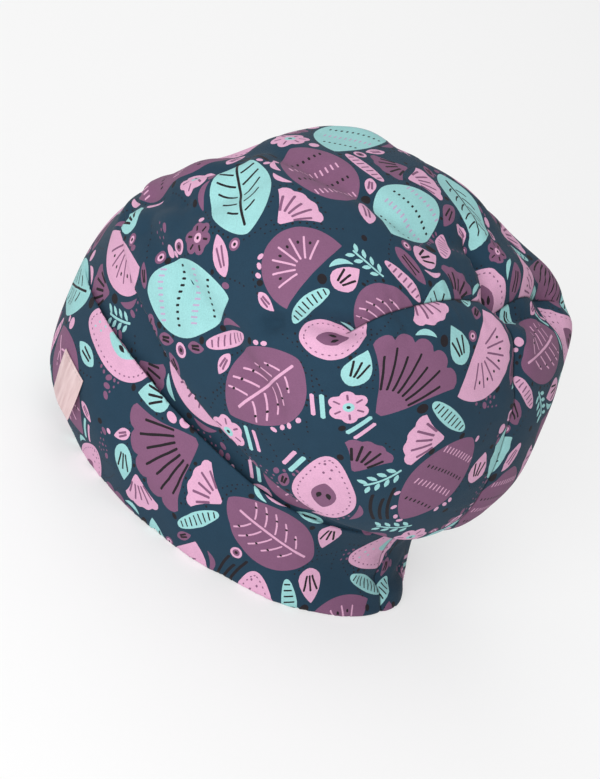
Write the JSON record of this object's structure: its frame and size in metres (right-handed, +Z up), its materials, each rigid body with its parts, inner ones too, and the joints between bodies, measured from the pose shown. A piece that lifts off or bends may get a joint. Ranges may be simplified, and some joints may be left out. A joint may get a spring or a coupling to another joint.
{
  "type": "beanie",
  "caption": "Slouchy jersey beanie: an open cloth bag whose slack crown folds over its snug band, with dart seams meeting at the top and a small bare label.",
  "frame": {"origin": "middle of the hat's length and width, at the plane of the rim", "axes": "+Z up out of the rim plane, +X towards the back of the hat, -Y towards the wearer's left side, where the label is"},
  "size_m": [0.235, 0.2036, 0.1938],
  "materials": {
    "printed_jersey": "matte",
    "label_satin": "satin"
  },
  "bodies": {
    "root": {"hat_body": "printed_jersey", "label": "label_satin"}
  },
  "joints": []
}
